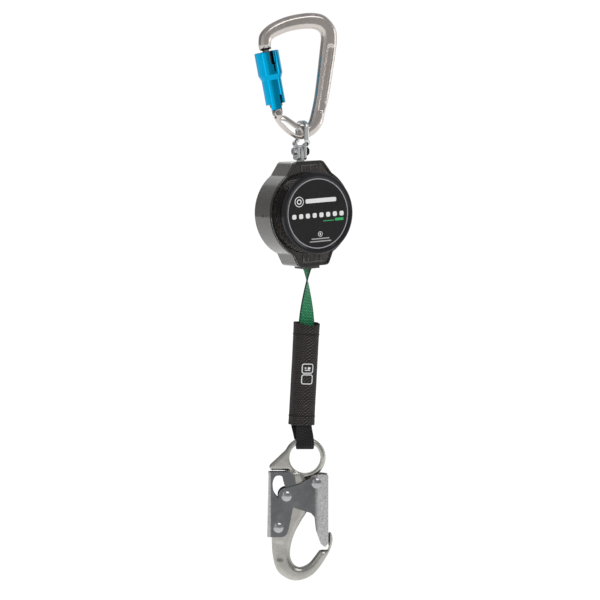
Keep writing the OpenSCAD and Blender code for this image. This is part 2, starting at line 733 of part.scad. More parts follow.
module hook_body() color([0.72, 0.72, 0.66]) hook_frame() difference() {
    union() {
        forged(hook_t, 3.1) hook_shank_outline();
        forged(eye_t, 1.8) {
            circle(r = eye_outer, $fn = 96);
            polygon([[-8.6, 17.6], [-34.6, -6.6], [-35.4, -9], [-33.6, -12.3], [-12, -12.3]]);
        }
    }
    rod_y(eye_r, -10, 10, $fn = 96);
    for (p = [gate_pivot, lock_pivot]) translate([p[0], 0, p[1]]) rod_y(rivet_r, -10, 10);
    translate([lock_pivot[0], 0, lock_pivot[1]]) rod_y(5.4, -1.6, 1.6);
    translate([lock_pivot[0] - 12, -1.6, lock_pivot[1]]) cube([12, 3.2, 14]);
    for (side = [-1, 1]) slab(side * 5 - 0.8, side * 5 + 0.8) translate([-25.5, -92])
        square([7, 18], center = true);
}

gate_plate = [[-19.4, -28.9], [-6.5, -25.6], [3.3, -20], [12.4, -16.4], [16, -15.8], [22.6, -16.6],
    [22.6, -84], [19.4, -87.8], [15.1, -84.4], [11.3, -73.3], [9.7, -58.8], [5.4, -53.9],
    [-9.7, -48.9], [-20.8, -45]];

module hook_gate() color([0.55, 0.57, 0.6]) hook_frame() difference() {
    union() {
        for (side = [-1, 1]) slab(min(side * gate_in, side * (gate_in + plate_t)),
            max(side * gate_in, side * (gate_in + plate_t))) {
            polygon(gate_plate);
            translate(link) circle(r = 8.1);
        }
        slab(-gate_in - 0.1, gate_in + 0.1)
            polygon([[21.2, -17.4], [22.6, -17.4], [22.6, -84], [19.4, -87.8], [18.4, -86.6],
                [21.2, -83.4]]);
    }
    translate([gate_pivot[0], 0, gate_pivot[1]]) rod_y(rivet_r + fit, -10, 10);
    translate([link[0], 0, link[1]]) rod_y(rivet_r, -10, 10);
}

lever_plate = [[-35.7, -13.8], [-15, -13.8], [-12.1, -14.8], [-10.2, -17.8], [-9.1, -25.6],
    [-11.9, -47.7], [-16.4, -70], [-18.2, -74.8], [-20.6, -77.2], [-24, -77.7], [-37.2, -77.7]];
lever_slot = [[-26, -16.8], [-22.5, -18], [-21, -24], [-18.6, -31], [-15.2, -35], [-15, -39.5],
    [-19, -41.5], [-26, -39.5], [-30.8, -33], [-32, -24], [-29.6, -18]];

module hook_lock_lever() color([0.55, 0.57, 0.6]) hook_frame() difference() {
    union() {
        for (side = [-1, 1]) slab(min(side * lever_in, side * (lever_in + plate_t)),
            max(side * lever_in, side * (lever_in + plate_t))) difference() {
            polygon(lever_plate);
            polygon(closed_curve(lever_slot, 4));
        }
        slab(-lever_in - 0.1, lever_in + 0.1)
            polygon([[-35.75, -16], [-34.4, -16], [-35.8, -77.7], [-37.2, -77.7]]);
    }
    translate([lock_pivot[0], 0, lock_pivot[1]]) rod_y(rivet_r + fit, -10, 10);
}

// Rivet with a domed head at both ends
module rivet(p, half) {
    hook_frame() translate([p[0], 0, p[1]]) {
        rod_y(rivet_r, -half, half);
        for (side = [-1, 1]) intersection() {
            translate([0, side * (half + 1.5 - 8.9), 0]) sphere(r = 8.9);
            rod_y(4.9, min(side * half, side * (half + 2)), max(side * half, side * (half + 2)));
        }
    }
}

module gate_rivet() color("gainsboro") rivet(gate_pivot, gate_in + plate_t + 0.1);

module lock_rivet() color("gainsboro") rivet(lock_pivot, lever_in + plate_t + 0.1);

module link_pin() color("gainsboro") rivet(link, gate_in + plate_t);

module hook_gate_spring() color("gainsboro") hook_frame()
    for (side = [-1, 1]) translate([gate_pivot[0], side * 6.1, gate_pivot[1]])
        rotate([side * 90, 30, 0]) coil(4.2, 0.4, -0.45, 0.45, 1, 9);

module hook_lock_spring() color("gainsboro") hook_frame()
    translate([lock_pivot[0], 0, lock_pivot[1]]) rotate([-90, 180, 0])
        coil(4, 0.5, -0.7, 0.7, 1, 7);

carabiner_body();
carabiner_gate();
gate_sleeve();
gate_hinge_pin();
gate_spring();
gate_plunger();
sleeve_spring();
sleeve_stop_pin();
twisted_shackle();
shackle_bolt();
shackle_nut();
swivel_eye();
swivel_bush();
swivel_washer();
swivel_nut();
rear_shell();
front_shell();
seam_seal();
front_bezel();
label_ring();
front_label();
rear_cover();
housing_screws();
front_plate();
rear_plate();
frame_spacers();
anchor_block();
web_guide();
guide_bars();
drum();
drum_shaft();
shaft_bushes();
shaft_clips();
wound_web();
pawl_carrier();
ratchet_ring();
ratchet_posts();
pawl_a();
pawl_b();
pawl_pins();
pawl_springs();
power_spring();
spring_cup();
lifeline_web();
absorber_pack();
absorber_cover();
web_loop();
hook_body();
hook_gate();
hook_lock_lever();
gate_rivet();
lock_rivet();
link_pin();
hook_gate_spring();
hook_lock_spring();
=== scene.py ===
"""Looks of a self retracting lifeline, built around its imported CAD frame. Metres, +Z up."""
import json
import math

import bpy
from mathutils import Matrix, Vector


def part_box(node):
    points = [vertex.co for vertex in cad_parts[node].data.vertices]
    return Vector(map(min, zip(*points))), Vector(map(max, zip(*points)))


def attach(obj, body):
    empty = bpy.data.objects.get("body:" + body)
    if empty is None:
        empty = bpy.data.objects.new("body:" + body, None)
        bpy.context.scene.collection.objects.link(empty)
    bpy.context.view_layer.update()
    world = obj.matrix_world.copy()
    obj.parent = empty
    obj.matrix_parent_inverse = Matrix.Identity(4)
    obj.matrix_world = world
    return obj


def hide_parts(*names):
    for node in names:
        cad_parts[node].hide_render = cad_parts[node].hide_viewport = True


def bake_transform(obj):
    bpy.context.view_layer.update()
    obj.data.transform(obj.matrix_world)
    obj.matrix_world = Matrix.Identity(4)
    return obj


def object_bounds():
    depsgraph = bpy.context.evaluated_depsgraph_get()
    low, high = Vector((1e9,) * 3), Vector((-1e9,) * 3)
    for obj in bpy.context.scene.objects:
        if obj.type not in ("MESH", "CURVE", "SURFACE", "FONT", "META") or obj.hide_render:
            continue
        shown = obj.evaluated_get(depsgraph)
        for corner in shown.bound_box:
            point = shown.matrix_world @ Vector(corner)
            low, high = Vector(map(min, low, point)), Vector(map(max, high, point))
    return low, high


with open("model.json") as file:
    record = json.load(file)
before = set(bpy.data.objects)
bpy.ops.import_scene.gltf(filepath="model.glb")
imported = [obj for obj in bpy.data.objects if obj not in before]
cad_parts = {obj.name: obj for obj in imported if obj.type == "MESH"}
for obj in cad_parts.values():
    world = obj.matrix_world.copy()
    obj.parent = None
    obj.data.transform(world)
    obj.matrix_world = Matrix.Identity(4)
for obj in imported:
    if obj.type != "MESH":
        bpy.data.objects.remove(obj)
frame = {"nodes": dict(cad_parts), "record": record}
cad_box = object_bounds()

MM = 0.001
NODES = frame["nodes"]
JOINTS = {j["name"]: j for j in frame["record"]["behaviour"]["joints"]}
AXIS_Y = Vector((0, 1, 0))

# ---------- places, worked out from the frame ----------

BOLT = Vector(JOINTS["shackle_tilt"]["pos_m"])
DRUM = Vector(JOINTS["drum_spin"]["pos_m"])
EYE = Vector(JOINTS["hook_swing"]["pos_m"])
ABSORBER_LEAN = math.radians(3.5)


def frame_of(origin, z_axis, y_axis):
    """Matrix of a frame from its origin, its Z axis and its Y axis."""
    x_axis = y_axis.cross(z_axis)
    turn = Matrix((x_axis, y_axis, z_axis)).transposed().to_4x4()
    return Matrix.Translation(origin) @ turn


def box_centre(node):
    """Middle of a CAD node's box."""
    low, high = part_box(node)
    return (low + high) / 2


HOUSING = frame_of(BOLT, Vector(JOINTS["housing_swivel"]["axis"]), AXIS_Y)
CASE = frame_of(DRUM, Vector(JOINTS["housing_swivel"]["axis"]), AXIS_Y)
HOOK = frame_of(EYE, Vector((0, 0, 1)), Vector(JOINTS["hook_swing"]["axis"]))
ABSORBER = Matrix.Translation(box_centre("absorber_cover")) @ Matrix.Rotation(
    ABSORBER_LEAN, 4, "Y")

WEB_W, WEB_T = 17.5 * MM, 1.5 * MM
WEB_Y = -3 * MM
MOUTH_Z = -114 * MM  # where the webbing leaves the mouth, below the bolt
HUB_R = 14 * MM
COVER_W, COVER_D, COVER_L, COVER_T = 26 * MM, 17 * MM, 101 * MM, 1.2 * MM
COVER_POWER = 3.2  # how square the cover's section is; 2 would be an ellipse
HEM_LOW, HEM_HIGH = -COVER_L / 2 + 9 * MM, COVER_L / 2 - 12 * MM
PACK_HALF = 44 * MM
LABEL_Y, NECK_Y = -28.85 * MM, -16 * MM  # the front of the label, and of the casing's necks


# ---------- materials ----------

class Shader:
    """A node material with short calls for what the materials here share."""

    def __init__(self, name, colour, metallic=0.0, roughness=0.5, **sockets):
        self.mat = bpy.data.materials.new(name)
        self.mat.use_nodes = True
        self.tree = self.mat.node_tree
        self.bsdf = self.tree.nodes["Principled BSDF"]
        self.put("Base Color", (*colour, 1))
        self.put("Metallic", metallic)
        self.put("Roughness", roughness)
        for socket, value in sockets.items():
            self.put(socket.replace("_", " "), value)

    def put(self, socket, value):
        self.bsdf.inputs[socket].default_value = value

    def add(self, kind, **values):
        """A node, with values for its sockets or its properties."""
        made = self.tree.nodes.new(kind)
        for key, value in values.items():
            if key in made.inputs:
                made.inputs[key].default_value = value
            else:
                setattr(made, key, value)
        return made

    def join(self, out, into):
        self.tree.links.new(out, into)

    def coords(self, output):
        """Texture coordinates; "Height" is UV across a strap and object Z along it."""
        made = self.add("ShaderNodeTexCoord")
        if output != "Height":
            return made.outputs[output]
        across, along = self.add("ShaderNodeSeparateXYZ"), self.add("ShaderNodeSeparateXYZ")
        both = self.add("ShaderNodeCombineXYZ")
        self.join(made.outputs["UV"], across.inputs["Vector"])
        self.join(made.outputs["Object"], along.inputs["Vector"])
        self.join(across.outputs["X"], both.inputs["X"])
        self.join(along.outputs["Z"], both.inputs["Y"])
        return both.outputs["Vector"]

    def place(self, output="Object", scale=(1, 1, 1), turn=0.0):
        """Coordinates scaled, and turned about Z."""
        mapping = self.add("ShaderNodeMapping")
        mapping.inputs["Scale"].default_value = scale
        mapping.inputs["Rotation"].default_value = (0, 0, turn)
        self.join(self.coords(output), mapping.inputs["Vector"])
        return mapping.outputs["Vector"]

    def noise(self, scale, detail=4, stretch=(1, 1, 1), output="Object"):
        """Noise of that scale."""
        node = self.add("ShaderNodeTexNoise", Scale=scale, Detail=detail)
        self.join(self.place(output, stretch), node.inputs["Vector"])
        return node.outputs["Fac"]

    def bands(self, period, direction, output="UV", turn=0.0, distortion=0.0):
        """Sine bands of that period in metres."""
        node = self.add("ShaderNodeTexWave", Scale=math.pi / (10 * period),
                        bands_direction=direction, Distortion=distortion)
        node.inputs["Detail Scale"].default_value = 2.0
        self.join(self.place(output, turn=turn), node.inputs["Vector"])
        return node.outputs["Fac"]

    def math(self, operation, a, b):
        node = self.add("ShaderNodeMath", operation=operation)
        for socket, value in zip(node.inputs, (a, b)):
            if isinstance(value, (int, float)):
                socket.default_value = value
            else:
                self.join(value, socket)
        return node.outputs["Value"]

    def ramp(self, fac, stops):
        """Colour ramp of (position, colour) stops."""
        node = self.add("ShaderNodeValToRGB")
        while len(node.color_ramp.elements) < len(stops):
            node.color_ramp.elements.new(0.5)
        for element, (position, colour) in zip(node.color_ramp.elements, stops):
            element.position = position
            element.color = (*colour, 1)
        self.join(fac, node.inputs["Fac"])
        return node.outputs["Color"]

    def span(self, fac, low, high, lowest=0.3, highest=0.7):
        """From low to high as fac goes from lowest to highest."""
        node = self.add("ShaderNodeMapRange")
        node.inputs["From Min"].default_value = lowest
        node.inputs["From Max"].default_value = highest
        node.inputs["To Min"].default_value = low
        node.inputs["To Max"].default_value = high
        self.join(fac, node.inputs["Value"])
        return node.outputs["Result"]

    def blend(self, fac, a, b):
        """Mix of two colours or outputs."""
        node = self.add("ShaderNodeMix", data_type="RGBA")
        for socket, value in ((node.inputs[0], fac), (node.inputs[6], a), (node.inputs[7], b)):
            if isinstance(value, tuple):
                socket.default_value = (*value, 1)
            elif isinstance(value, (int, float)):
                socket.default_value = value
            else:
                self.join(value, socket)
        return node.outputs[2]

    def colour(self, out):
        self.join(out, self.bsdf.inputs["Base Color"])
        return self

    def rough(self, out):
        self.join(out, self.bsdf.inputs["Roughness"])
        return self

    def bump(self, out, depth, strength=1.0):
        """Bump of that depth in metres, on top of any before it."""
        before = self.bsdf.inputs["Normal"].links
        node = self.add("ShaderNodeBump", Strength=strength, Distance=depth)
        self.join(out, node.inputs["Height"])
        if before:
            self.join(before[0].from_socket, node.inputs["Normal"])
        self.join(node.outputs["Normal"], self.bsdf.inputs["Normal"])
        return self


def metal(name, colour, roughness, grain=900, depth=0.00002, spots=0.12, stretch=(1, 1, 1)):
    """Metal with a fine grain, and gloss and colour that vary a little."""
    s = Shader(name, colour, 1.0, roughness)
    patches = s.noise(45, 3)
    darker = tuple(c * (1 - spots) for c in colour)
    s.colour(s.blend(s.span(patches, 0, 1), darker, colour))
    s.rough(s.span(s.noise(260, 4), roughness * 0.82, roughness * 1.2))
    s.bump(s.noise(grain, 3, stretch), depth, 0.03)
    return s.mat


def folded_plate(name, colour, worn, roughness):
    """Sheet steel of the hook, brighter along its two folded edges."""
    s = Shader(name, colour, 0.85, roughness)
    across = s.add("ShaderNodeVectorMath", operation="DOT_PRODUCT")
    across.inputs[1].default_value = HOOK.col[0].xyz
    s.join(s.place(), across.inputs[0])
    middle = EYE.dot(HOOK.col[0].xyz)
    right = s.span(across.outputs["Value"], 0, 1, middle + 9 * MM, middle + 13 * MM)
    left = s.span(across.outputs["Value"], 1, 0, middle - 34.5 * MM, middle - 33.5 * MM)
    # Painted highlight along with wear: the two folded edges get the paler colour, mottled by
    # noise, standing in for the light they catch.
    fold_highlight_and_wear = s.math("MAXIMUM", right, left)
    fold_highlight_and_wear = s.math("MULTIPLY", fold_highlight_and_wear, s.span(s.noise(700, 3), 0.45, 1.0))
    base = s.blend(s.span(s.noise(45, 4), 0, 1), tuple(c * 0.55 for c in colour), colour)
    s.colour(s.blend(fold_highlight_and_wear, base, worn))
    s.rough(s.span(s.noise(260, 4), roughness * 0.8, roughness * 1.3))
    s.bump(s.noise(500, 3), 0.00004, 0.1)
    return s.mat


def plastic(name, colour, roughness, **sockets):
    """Moulded plastic with a faint texture and a few lighter scuffs."""
    s = Shader(name, colour, 0.0, roughness, **sockets)
    worn = tuple(min(1, c * 1.4 + 0.004) for c in colour)
    s.colour(s.blend(s.span(s.noise(60, 5), 0, 0.5, 0.45, 0.8), colour, worn))
    s.rough(s.span(s.noise(320, 3), roughness * 0.85, roughness * 1.25))
    s.bump(s.noise(1400, 2), 0.00001, 0.3)
    return s.mat


def webbing(name, colour, light, edge, selvage=0.0, places="UV"):
    """Narrow woven webbing; UV is metres across and metres along."""
    s = Shader(name, colour, 0.0, 0.8, Specular_IOR_Level=0.2,
               Sheen_Weight=0.08, Sheen_Roughness=0.5)
    ribs = s.bands(1.7 * MM, "X", places)
    picks = s.bands(1.5 * MM, "Y", places, distortion=0.3)
    twill = s.bands(2.2 * MM, "X", places, turn=math.radians(52))
    weave = s.math("MULTIPLY", s.math("ADD", ribs, twill), picks)
    tone = s.math("ADD", s.math("MULTIPLY", weave, 0.42),
                  s.math("MULTIPLY", s.noise(420, 3, output=places), 0.3))
    shade = s.ramp(tone, [(0.1, tuple(c * 0.45 for c in colour)), (0.4, colour), (0.85, light)])
    if selvage:
        split = s.add("ShaderNodeSeparateXYZ")
        s.join(s.place("UV"), split.inputs["Vector"])
        out = s.math("ABSOLUTE", split.outputs["X"], 0)
        at_edge = s.span(out, 0, 0.85, selvage - 0.0005, selvage + 0.0005)
        shade = s.blend(at_edge, shade, edge)
    s.colour(shade)
    s.bump(weave, 0.00022, 0.9)
    s.bump(s.noise(2600, 2, output=places), 0.00006, 0.5)
    return s.mat


def cover_cloth(name, colour, light):
    """Coarse ballistic twill; UV is metres around and metres along."""
    s = Shader(name, colour, 0.0, 0.72, Specular_IOR_Level=0.25,
               Sheen_Weight=0.08, Sheen_Roughness=0.45)
    diagonal = s.bands(2.0 * MM, "X", turn=math.radians(38))
    cross = s.bands(1.7 * MM, "Y", distortion=0.5)
    weave = s.math("MULTIPLY", diagonal, s.span(cross, 0.35, 1.0, 0.0, 1.0))
    tone = s.math("ADD", s.math("MULTIPLY", weave, 0.6),
                  s.math("MULTIPLY", s.noise(240, 4, output="UV"), 0.35))
    s.colour(s.ramp(tone, [(0.12, tuple(c * 0.4 for c in colour)), (0.45, colour),
                           (0.85, light)]))
    s.bump(weave, 0.0003, 0.9)
    s.bump(s.noise(60, 3), 0.0012, 0.25)
    return s.mat


def clear_smoke(name, colour, roughness, transmission):
    """Smoke tinted translucent plastic."""
    s = Shader(name, colour, 0.0, roughness, IOR=1.49, Transmission_Weight=transmission,
               Coat_Weight=0.35, Coat_Roughness=0.06)
    s.colour(s.blend(s.span(s.noise(35, 3), 0, 1), tuple(c * 0.86 for c in colour), colour))
    s.rough(s.span(s.noise(200, 3), roughness * 0.8, roughness * 1.25))
    s.bump(s.noise(1200, 2), 0.00001, 0.2)
    return s.mat


MATERIALS = {
    "bright_aluminium": metal("bright_aluminium", (0.62, 0.57, 0.535), 0.2, spots=0.16),
    "blue_anodised": metal("blue_anodised", (0.003, 0.36, 0.64), 0.15, spots=0.1,
                           stretch=(1, 1, 0.2)),
    "gate_metal": metal("gate_metal", (0.16, 0.16, 0.17), 0.3),
    "zinc_steel": metal("zinc_steel", (0.72, 0.74, 0.74), 0.24, spots=0.2),
    "black_steel": metal("black_steel", (0.035, 0.035, 0.037), 0.38),
    "smoke_plastic": clear_smoke("smoke_plastic", (0.2, 0.19, 0.168), 0.13, 0.62),
    "dark_smoke_plastic": clear_smoke("dark_smoke_plastic", (0.36, 0.31, 0.29), 0.05, 0.95),
    "rib_plastic": plastic("rib_plastic", (0.1, 0.095, 0.088), 0.18),
    "seal_rubber": plastic("seal_rubber", (0.008, 0.008, 0.008), 0.5),
    "black_plastic": plastic("black_plastic", (0.009, 0.009, 0.011), 0.12,
                             Specular_IOR_Level=0.35),
    "silver_trim": metal("silver_trim", (0.5, 0.5, 0.54), 0.3),
    "label_film": plastic("label_film", (0.008, 0.007, 0.007), 0.3, Specular_IOR_Level=0.3),
    "frame_steel": metal("frame_steel", (0.1, 0.1, 0.105), 0.4, spots=0.2),
    "bush_bronze": metal("bush_bronze", (0.5, 0.32, 0.13), 0.36),
    "drum_aluminium": metal("drum_aluminium", (0.6, 0.6, 0.61), 0.32),
    "spring_steel": metal("spring_steel", (0.4, 0.4, 0.42), 0.3),
    "green_webbing": webbing("green_webbing", (0.007, 0.17, 0.07), (0.17, 0.76, 0.36),
                             (0.008, 0.02, 0.015), selvage=7.7 * MM, places="Height"),
    "rolled_webbing": webbing("rolled_webbing", (0.007, 0.17, 0.07), (0.17, 0.76, 0.36),
                              (0.008, 0.02, 0.015), selvage=7.7 * MM),
    "black_webbing": webbing("black_webbing", (0.014, 0.013, 0.013), (0.05, 0.047, 0.045),
                             (0.01, 0.01, 0.01)),
    "cover_fabric": cover_cloth("cover_fabric", (0.02, 0.016, 0.0155), (0.15, 0.126, 0.12)),
    "hook_steel": metal("hook_steel", (0.5, 0.49, 0.45), 0.26, grain=500, depth=0.00004,
                        spots=0.35),
    "plate_steel": folded_plate("plate_steel", (0.19, 0.192, 0.198), (0.6, 0.6, 0.59), 0.28),
    "rivet_steel": metal("rivet_steel", (0.45, 0.45, 0.46), 0.16),
    "guide_plastic": plastic("guide_plastic", (0.05, 0.045, 0.042), 0.35),
    "white_print": plastic("white_print", (0.8, 0.8, 0.8), 0.45),
    "grey_print": plastic("grey_print", (0.4, 0.4, 0.4), 0.5),
    "green_print": plastic("green_print", (0.02, 0.42, 0.12), 0.45),
    "thread": plastic("thread", (0.004, 0.004, 0.004), 0.8),
}


# ---------- meshes ----------

def make_piece(name, points, faces, slot, body, uvs=None, smooth=True):
    """A mesh piece in the row frame that rides on a body. uvs has one entry per point."""
    mesh = bpy.data.meshes.new(name)
    mesh.from_pydata([tuple(p) for p in points], [], faces)
    mesh.update()
    piece = bpy.data.objects.new(name, mesh)
    bpy.context.scene.collection.objects.link(piece)
    mesh.materials.append(MATERIALS[slot])
    for polygon in mesh.polygons:
        polygon.use_smooth = smooth
    if uvs is not None:
        layer = mesh.uv_layers.new(name="UVMap")
        for loop in mesh.loops:
            layer.data[loop.index].uv = uvs[loop.vertex_index]
    if body:
        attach(piece, body)
    return piece


def rings_mesh(rings, loop=False):
    """Points and faces of a skin over a row of equal rings, capped unless they form a loop."""
    n = len(rings[0])
    points = [p for ring in rings for p in ring]
    faces = []
    count = len(rings)
    for i in range(count if loop else count - 1):
        k = (i + 1) % count
        faces += [(i * n + j, i * n + (j + 1) % n, k * n + (j + 1) % n, k * n + j)
                  for j in range(n)]
    if not loop:
        faces.append(tuple(range(n - 1, -1, -1)))
        faces.append(tuple(range((count - 1) * n, count * n)))
    return points, faces


def spline(points, steps):
    """Smooth curve through points, with that many steps between two of them."""
    out = []
    for i in range(len(points) - 1):
        a, b = points[max(i - 1, 0)], points[i]
        c, d = points[i + 1], points[min(i + 2, len(points) - 1)]
        for s in range(steps):
            t = s / steps
            out.append(0.5 * (2 * b + (c - a) * t + (2 * a - 5 * b + 4 * c - d) * t * t
                              + (3 * b - a - 3 * c + d) * t ** 3))
    return out + [points[-1]]


def ribbon_rings(path, across, w, t):
    """Rings of a strap with rounded edges, and its UVs in metres across and along."""
    half = w / 2 - t / 2
    flat = [half * (-1 + 2 * k / 8) for k in range(9)]
    section = [(u, t / 2) for u in flat]
    section += [(half + t / 2 * math.sin(a), t / 2 * math.cos(a))
                for a in (math.pi / 4, math.pi / 2, 3 * math.pi / 4)]
    section += [(u, -t / 2) for u in reversed(flat)]
    section += [(-half - t / 2 * math.sin(a), -t / 2 * math.cos(a))
                for a in (math.pi / 4, math.pi / 2, 3 * math.pi / 4)]
    rings, uvs, run = [], [], 0.0
    for i, p in enumerate(path):
        along = (path[min(i + 1, len(path) - 1)] - path[max(i - 1, 0)]).normalized()
        side = (across[i] - along * across[i].dot(along)).normalized()
        out = along.cross(side)
        if i:
            run += (p - path[i - 1]).length
        rings.append([p + side * u + out * v for u, v in section])
        uvs += [(u, run) for u, v in section]
    return rings, uvs


def ribbon(name, path, across, w, t, slot, body):
    """A flat strap along a path, with its width along across."""
    rings, uvs = ribbon_rings(path, across, w, t)
    points, faces = rings_mesh(rings)
    return make_piece(name, points, faces, slot, body, uvs)


def thread_rings(path, r, sides):
    """Rings of a round thread along a path, drawn in at both ends."""
    along = [(path[min(i + 1, len(path) - 1)] - path[max(i - 1, 0)]).normalized()
             for i in range(len(path))]
    side = along[0].orthogonal().normalized()
    rings = []
    for i, p in enumerate(path):
        side = (side - along[i] * side.dot(along[i])).normalized()
        out = along[i].cross(side)
        size = r * (0.45 if i in (0, len(path) - 1) else 1)
        rings.append([p + (side * math.cos(a) + out * math.sin(a)) * size
                      for a in (2 * math.pi * j / sides for j in range(sides))])
    return rings


def merge(parts):
    """One list of points and faces from several."""
    points, faces = [], []
    for some_points, some_faces in parts:
        start = len(points)
        points += some_points
        faces += [tuple(start + k for k in face) for face in some_faces]
    return points, faces


def stitch(a, b, out):
    """One stitch from a to b that rises a little along out."""
    r, sides = 0.34 * MM, 6
    path = [a, a.lerp(b, 0.2) + out * r * 0.9, a.lerp(b, 0.5) + out * r * 1.2,
            a.lerp(b, 0.8) + out * r * 0.9, b]
    return rings_mesh(thread_rings(path, r, sides))


def stitches(name, runs, slot, body, pitch):
    """Rows of stitches. A run is a list of (point, outward direction), closely spaced."""
    gap = 0.55 * MM
    parts = []
    for run in runs:
        begin, travelled = None, 0.0
        for (p, out), (q, _) in zip(run, run[1:]):
            if begin is None:
                begin, travelled = p, 0.0
            travelled += (q - p).length
            if travelled >= pitch:
                parts.append(stitch(begin, q - (q - begin).normalized() * gap, out))
                begin = None
    points, faces = merge(parts)
    return make_piece(name, points, faces, slot, body)


def rounded_rect(w, h, r):
    """Outline of a rectangle with round corners, as (x, z)."""
    steps = 5
    out = []
    for k, (sx, sz) in enumerate(((1, 1), (-1, 1), (-1, -1), (1, -1))):
        for i in range(steps + 1):
            a = math.pi / 2 * (k + i / steps)
            out.append((sx * (w / 2 - r) + r * math.cos(a), sz * (h / 2 - r) + r * math.sin(a)))
    return out


def on_surface(place, surface, x, z, depth):
    """A point of a frame that lies that far behind a surface, which gives Y from X and Z."""
    return place @ Vector((x, surface(x, z) + depth, z))


def raised(outline, centre, place, surface, lift):
    """Thin raised patch with that outline, in the X and Z of a frame, facing -Y."""
    rings = [[on_surface(place, surface, centre[0] + x * grow, centre[1] + z * grow, depth)
              for x, z in outline]
             for depth, grow in ((0.02 * MM, 1.0), (-lift * 0.7, 1.0), (-lift, 0.985))]
    return rings_mesh(rings)


def raised_loop(outer, inner, centre, place, surface, lift):
    """Thin raised closed line between two outlines of equal length."""
    def at(p, depth):
        return on_surface(place, surface, centre[0] + p[0], centre[1] + p[1], depth)
    rings = [[at(o, 0.02 * MM), at(o, -lift), at(i, -lift), at(i, 0.02 * MM)]
             for o, i in zip(outer, inner)]
    return rings_mesh(rings, loop=True)


# ---------- CAD pieces that stay: edges eased, surfaces finished ----------

SHARP_ANGLE = math.radians(38)
# Width of the rounding on a node's edges, in mm
EASED = {
    "carabiner_gate": 0.3, "gate_sleeve": 0.35, "gate_hinge_pin": 0.25, "shackle_bolt": 0.4,
    "shackle_nut": 0.45, "swivel_eye": 0.4, "rear_shell": 0.45, "front_shell": 0.45,
    "front_bezel": 0.25, "label_ring": 0.15, "rear_cover": 0.4, "housing_screws": 0.2,
    "web_guide": 0.35, "hook_gate": 0.6, "hook_lock_lever": 0.6, "front_plate": 0.15,
    "rear_plate": 0.15, "anchor_block": 0.4, "drum": 0.2, "pawl_a": 0.2, "pawl_b": 0.2,
    "pawl_carrier": 0.2, "ratchet_ring": 0.2, "swivel_nut": 0.3, "spring_cup": 0.3,
}
# Voxel in mm and passes of smoothing
FORGED = {"carabiner_body": (0.5, 42), "hook_body": (0.5, 34), "twisted_shackle": (0.3, 10)}


def ease_edges(node, width_mm):
    """A small rounding on the sharp edges of a CAD node, shaded smooth."""
    thing = NODES[node]
    bevel = thing.modifiers.new("eased edges", "BEVEL")
    bevel.width = width_mm * MM
    bevel.segments = 2
    bevel.limit_method = "ANGLE"
    bevel.angle_limit = SHARP_ANGLE
    bevel.use_clamp_overlap = True
    smooth_shading(thing)
    normals = thing.modifiers.new("normals", "WEIGHTED_NORMAL")
    normals.keep_sharp = True


def smooth_shading(thing):
    """Smooth shading, with the edges over the sharp angle kept."""
    for polygon in thing.data.polygons:
        polygon.use_smooth = True
    thing.data.set_sharp_from_angle(angle=SHARP_ANGLE)


def round_forging(node, voxel_mm, passes):
    """A forged or bent surface: the CAD shape with all its corners worn round."""
    thing = NODES[node]
    remesh = thing.modifiers.new("surface", "REMESH")
    remesh.mode = "VOXEL"
    remesh.voxel_size = voxel_mm * MM
    remesh.use_smooth_shade = True
    worn = thing.modifiers.new("worn", "SMOOTH")
    worn.factor = 0.5
    worn.iterations = passes


def finish_cad_nodes():
    """The materials of the record's slots, and edges or surfaces as the lists above say."""
    slot_of = {s["node"]: s["material_slot"] for s in frame["record"]["subparts"]}
    for node, thing in NODES.items():
        thing.data.materials.clear()
        thing.data.materials.append(MATERIALS[slot_of[node]])
        if node in FORGED:
            round_forging(node, *FORGED[node])
        elif node in EASED:
            ease_edges(node, EASED[node])
        else:
            smooth_shading(thing)


finish_cad_nodes()


# ---------- lifeline webbing ----------

def lifeline_path():
    """Off the roll, down through the guide, then down to the absorber with a quarter turn."""
    guide = ((14.4, -87.6), (8.2, -92.8), (3.4, -96.8), (1.1, -99.6), (0.2, -103), (0, -108))
    roll_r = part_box("wound_web")[1].x - DRUM.x
    leave = math.radians(-51.5)
    off = roll_r + WEB_T / 2 + 0.15 * MM
    case_c = (DRUM - BOLT).length
    down = [(off * math.cos(leave), off * math.sin(leave) - case_c)]
    down += [(x * MM, z * MM) for x, z in guide] + [(0, MOUTH_Z)]
    inside = [HOUSING @ Vector((x, WEB_Y, z)) for x, z in down]
    top, bottom = inside[-1], ABSORBER @ Vector((0, 0, PACK_HALF))
    path = spline(inside, 6)
    across = [AXIS_Y.copy() for _ in path]
    steps, turn_rate, ease = 96, 16 / 14, 0.75
    for i in range(1, steps + 1):
        t = i / steps
        turn = math.pi / 2 * (1 - min(1, t * turn_rate) ** ease)
        path.append(top.lerp(bottom, t))
        across.append(Vector((math.cos(turn), math.sin(turn), 0)))
    return path, across


def build_lifeline():
    """The free webbing, from the housing's body over to the absorber's."""
    path, across = lifeline_path()
    web = ribbon("lifeline_strap", path, across, WEB_W - 0.1 * MM, WEB_T, "green_webbing", None)
    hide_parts("lifeline_web")
    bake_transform(web)


build_lifeline()


# ---------- wound webbing on the drum ----------

def build_wound_web():
    """The roll as one spiral of webbing round the hub."""
    inner = HUB_R + 0.8 * MM
    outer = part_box("wound_web")[1].x - DRUM.x - WEB_T / 2
    turn_pitch, turn_steps = WEB_T * 1.04, 40
    turns = (outer - inner) / turn_pitch
    steps = int(turns * turn_steps)
    path, across = [], []
    for i in range(steps + 1):
        a = 2 * math.pi * turns * i / steps
        r = inner + (outer - inner) * i / steps
        path.append(CASE @ Vector((r * math.cos(a), WEB_Y, r * math.sin(a))))
        across.append(AXIS_Y.copy())
    roll = ribbon("wound_strap", path, across, WEB_W - 0.2 * MM, WEB_T, "rolled_webbing", "drum")
    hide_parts("wound_web")


build_wound_web()


# ---------- energy absorber ----------

